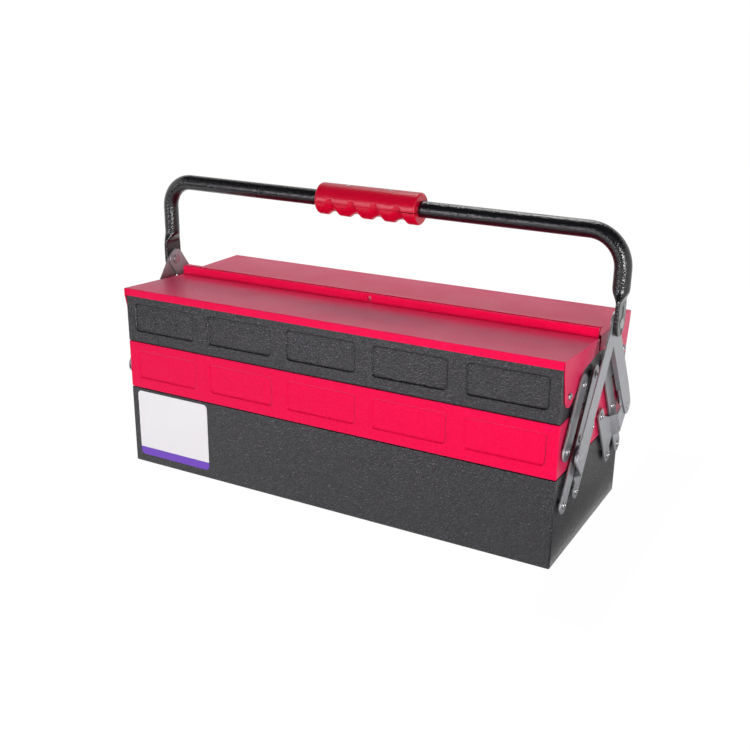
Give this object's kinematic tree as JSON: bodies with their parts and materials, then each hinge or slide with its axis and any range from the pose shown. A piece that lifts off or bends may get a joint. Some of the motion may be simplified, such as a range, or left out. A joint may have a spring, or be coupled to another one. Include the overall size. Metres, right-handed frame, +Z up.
{
  "type": "cantilever tool box",
  "caption": "Metal cantilever tool box whose stacked side trays fold out to front and back on end links, with hinged lids and a swinging top handle.",
  "frame": {"origin": "middle of the underside, on the surface that the box stands on", "axes": "+X along the box to the right end, +Y to the back, +Z up; the label is on the -Y face"},
  "size_m": [0.581, 0.2166, 0.3404],
  "materials": {
    "black_paint": "fine hammered gloss",
    "red_paint": "smooth satin gloss",
    "zinc_steel": "satin zinc",
    "rivet_steel": "bright",
    "handle_black": "hammered gloss",
    "grip_red": "satin moulded",
    "label_paper": "smooth film"
  },
  "bodies": {
    "base": {"base_box": "black_paint", "base_rivets": "rivet_steel", "label": "label_paper"},
    "front_long_links": {"front_long_link_right": "zinc_steel", "front_long_link_left": "zinc_steel"},
    "front_brackets": {"front_bracket_right": "zinc_steel", "front_bracket_left": "zinc_steel"},
    "front_middle_tray": {"front_middle_tray": "red_paint", "front_middle_tray_rivets": "rivet_steel"},
    "front_short_links": {"front_short_link_right": "zinc_steel", "front_short_link_left": "zinc_steel"},
    "front_top_tray": {"front_top_tray": "black_paint", "front_top_tray_rivets": "rivet_steel", "front_lid_rivets": "rivet_steel"},
    "front_lid": {"front_lid": "red_paint"},
    "rear_long_links": {"rear_long_link_right": "zinc_steel", "rear_long_link_left": "zinc_steel"},
    "rear_brackets": {"rear_bracket_right": "zinc_steel", "rear_bracket_left": "zinc_steel"},
    "rear_middle_tray": {"rear_middle_tray": "red_paint", "rear_middle_tray_rivets": "rivet_steel"},
    "rear_short_links": {"rear_short_link_right": "zinc_steel", "rear_short_link_left": "zinc_steel"},
    "rear_top_tray": {"rear_top_tray": "black_paint", "rear_top_tray_rivets": "rivet_steel", "rear_lid_rivets": "rivet_steel"},
    "rear_lid": {"rear_lid": "red_paint"},
    "handle_pins": {"handle_rivets": "rivet_steel"},
    "front_arms": {"front_arm_right": "zinc_steel", "front_arm_left": "zinc_steel", "front_arm_rivets": "rivet_steel"},
    "rear_arms": {"rear_arm_right": "zinc_steel", "rear_arm_left": "zinc_steel", "rear_arm_rivets": "rivet_steel"},
    "handle": {"handle_tube": "handle_black", "grip_upper": "grip_red", "grip_lower": "grip_red", "grip_screws": "rivet_steel"}
  },
  "joints": [
    {"name": "fold", "type": "hinge", "parent": "base", "child": "front_long_links", "pos_m": [0, -0.091, 0.065], "axis": [1, 0, 0], "range_deg": [0, 65]},
    {"name": "front_bracket_turn", "type": "hinge", "parent": "base", "child": "front_brackets", "pos_m": [0, -0.053, 0.065], "axis": [1, 0, 0], "range_deg": [0, 65]},
    {"name": "front_middle_tray_turn", "type": "hinge", "parent": "front_long_links", "child": "front_middle_tray", "pos_m": [0, -0.0545, 0.122], "axis": [1, 0, 0], "range_deg": [-65, 0]},
    {"name": "front_short_link_turn", "type": "hinge", "parent": "front_middle_tray", "child": "front_short_links", "pos_m": [0, -0.0925, 0.122], "axis": [1, 0, 0], "range_deg": [0, 65]},
    {"name": "front_top_tray_turn", "type": "hinge", "parent": "front_long_links", "child": "front_top_tray", "pos_m": [0, -0.018, 0.179], "axis": [1, 0, 0], "range_deg": [-65, 0]},
    {"name": "front_lid_open", "type": "hinge", "parent": "front_top_tray", "child": "front_lid", "pos_m": [0, -0.09, 0.177], "axis": [1, 0, 0], "range_deg": [0, 110]},
    {"name": "rear_fold", "type": "hinge", "parent": "base", "child": "rear_long_links", "pos_m": [0, 0.091, 0.065], "axis": [-1, 0, 0], "range_deg": [0, 65]},
    {"name": "rear_bracket_turn", "type": "hinge", "parent": "base", "child": "rear_brackets", "pos_m": [0, 0.053, 0.065], "axis": [-1, 0, 0], "range_deg": [0, 65]},
    {"name": "rear_middle_tray_turn", "type": "hinge", "parent": "rear_long_links", "child": "rear_middle_tray", "pos_m": [0, 0.0545, 0.122], "axis": [-1, 0, 0], "range_deg": [-65, 0]},
    {"name": "rear_short_link_turn", "type": "hinge", "parent": "rear_middle_tray", "child": "rear_short_links", "pos_m": [0, 0.0925, 0.122], "axis": [-1, 0, 0], "range_deg": [0, 65]},
    {"name": "rear_top_tray_turn", "type": "hinge", "parent": "rear_long_links", "child": "rear_top_tray", "pos_m": [0, 0.018, 0.179], "axis": [-1, 0, 0], "range_deg": [-65, 0]},
    {"name": "rear_lid_open", "type": "hinge", "parent": "rear_top_tray", "child": "rear_lid", "pos_m": [0, 0.09, 0.177], "axis": [-1, 0, 0], "range_deg": [0, 110]},
    {"name": "handle_pin_drop", "type": "slide", "parent": "base", "child": "handle_pins", "axis": [0, 0, 1], "range_m": [-0.08357, 0]},
    {"name": "front_arm_swing", "type": "hinge", "parent": "handle_pins", "child": "front_arms", "pos_m": [0, 0, 0.229], "axis": [1, 0, 0], "range_deg": [-15.51, 0]},
    {"name": "rear_arm_swing", "type": "hinge", "parent": "handle_pins", "child": "rear_arms", "pos_m": [0, 0, 0.229], "axis": [-1, 0, 0], "range_deg": [-15.51, 0]},
    {"name": "handle_swing", "type": "hinge", "parent": "handle_pins", "child": "handle", "pos_m": [0, 0, 0.229], "axis": [1, 0, 0], "range_deg": [-70, 70]}
  ],
  "couplings": [
    {"joint": "front_bracket_turn", "follows": "fold", "ratio": 1},
    {"joint": "front_middle_tray_turn", "follows": "fold", "ratio": -1},
    {"joint": "front_short_link_turn", "follows": "fold", "ratio": 1},
    {"joint": "front_top_tray_turn", "follows": "fold", "ratio": -1},
    {"joint": "rear_fold", "follows": "fold", "ratio": 1},
    {"joint": "rear_bracket_turn", "follows": "fold", "ratio": 1},
    {"joint": "rear_middle_tray_turn", "follows": "fold", "ratio": -1},
    {"joint": "rear_short_link_turn", "follows": "fold", "ratio": 1},
    {"joint": "rear_top_tray_turn", "follows": "fold", "ratio": -1},
    {"joint": "handle_pin_drop", "follows": "fold", "m_per_rad": -0.073662},
    {"joint": "front_arm_swing", "follows": "fold", "ratio": -0.23853},
    {"joint": "rear_arm_swing", "follows": "fold", "ratio": -0.23853}
  ]
}
